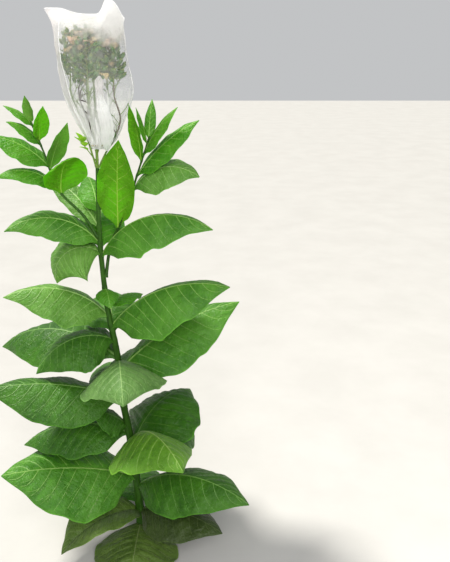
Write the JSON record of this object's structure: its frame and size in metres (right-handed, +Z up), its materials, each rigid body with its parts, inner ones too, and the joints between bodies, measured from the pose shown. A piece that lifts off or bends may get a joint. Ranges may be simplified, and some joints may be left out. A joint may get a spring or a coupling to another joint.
{
  "type": "tobacco plant",
  "caption": "Tall leafy field plant with broad drooping leaves, side shoots and a white cloth bag tied over its flower head.",
  "frame": {"origin": "middle of the flat cut under the main stem, at ground level", "axes": "+Z up along the plant, +X to the right as seen from the front, +Y to the back"},
  "size_m": [0.8678, 0.6422, 1.7714],
  "materials": {
    "stem": "satin",
    "leaf": "satin",
    "young_leaf": "satin",
    "flowers": "matte",
    "bag_cloth": "matte"
  },
  "bodies": {
    "root": {"stem": "stem", "leaf_01": "leaf", "leaf_02": "leaf", "leaf_03": "leaf", "leaf_04": "leaf", "leaf_05": "leaf", "leaf_06": "leaf", "leaf_07": "leaf", "leaf_08": "leaf", "leaf_09": "leaf", "leaf_10": "leaf", "leaf_11": "leaf", "leaf_12": "leaf", "leaf_13": "leaf", "leaf_14": "leaf", "leaf_15": "leaf", "leaf_16": "leaf", "leaf_17": "leaf", "leaf_18": "leaf", "leaf_19": "leaf", "leaf_20": "leaf", "leaf_21": "leaf", "leaf_22": "leaf", "leaf_23": "leaf", "leaf_24": "leaf", "leaf_25": "leaf", "leaf_26": "leaf", "leaf_27": "leaf", "leaf_28": "leaf", "leaf_29": "leaf", "shoot_left": "stem", "left_shoot_leaf_01": "young_leaf", "left_shoot_leaf_02": "young_leaf", "left_shoot_leaf_03": "young_leaf", "left_shoot_leaf_04": "young_leaf", "left_shoot_leaf_05": "young_leaf", "left_shoot_leaf_06": "young_leaf", "left_shoot_leaf_07": "young_leaf", "left_shoot_leaf_08": "young_leaf", "shoot_right": "stem", "right_shoot_leaf_01": "young_leaf", "right_shoot_leaf_02": "young_leaf", "right_shoot_leaf_03": "young_leaf", "right_shoot_leaf_04": "young_leaf", "right_shoot_leaf_05": "young_leaf", "right_shoot_leaf_06": "young_leaf", "right_shoot_leaf_07": "young_leaf", "panicle_axis": "stem", "panicle_branch_01": "stem", "panicle_branch_02": "stem", "panicle_branch_03": "stem", "panicle_branch_04": "stem", "panicle_branch_05": "stem", "flowers_01": "flowers", "flowers_02": "flowers", "flowers_03": "flowers", "flowers_04": "flowers", "flowers_05": "flowers", "flowers_06": "flowers", "bag": "bag_cloth"}
  },
  "joints": []
}
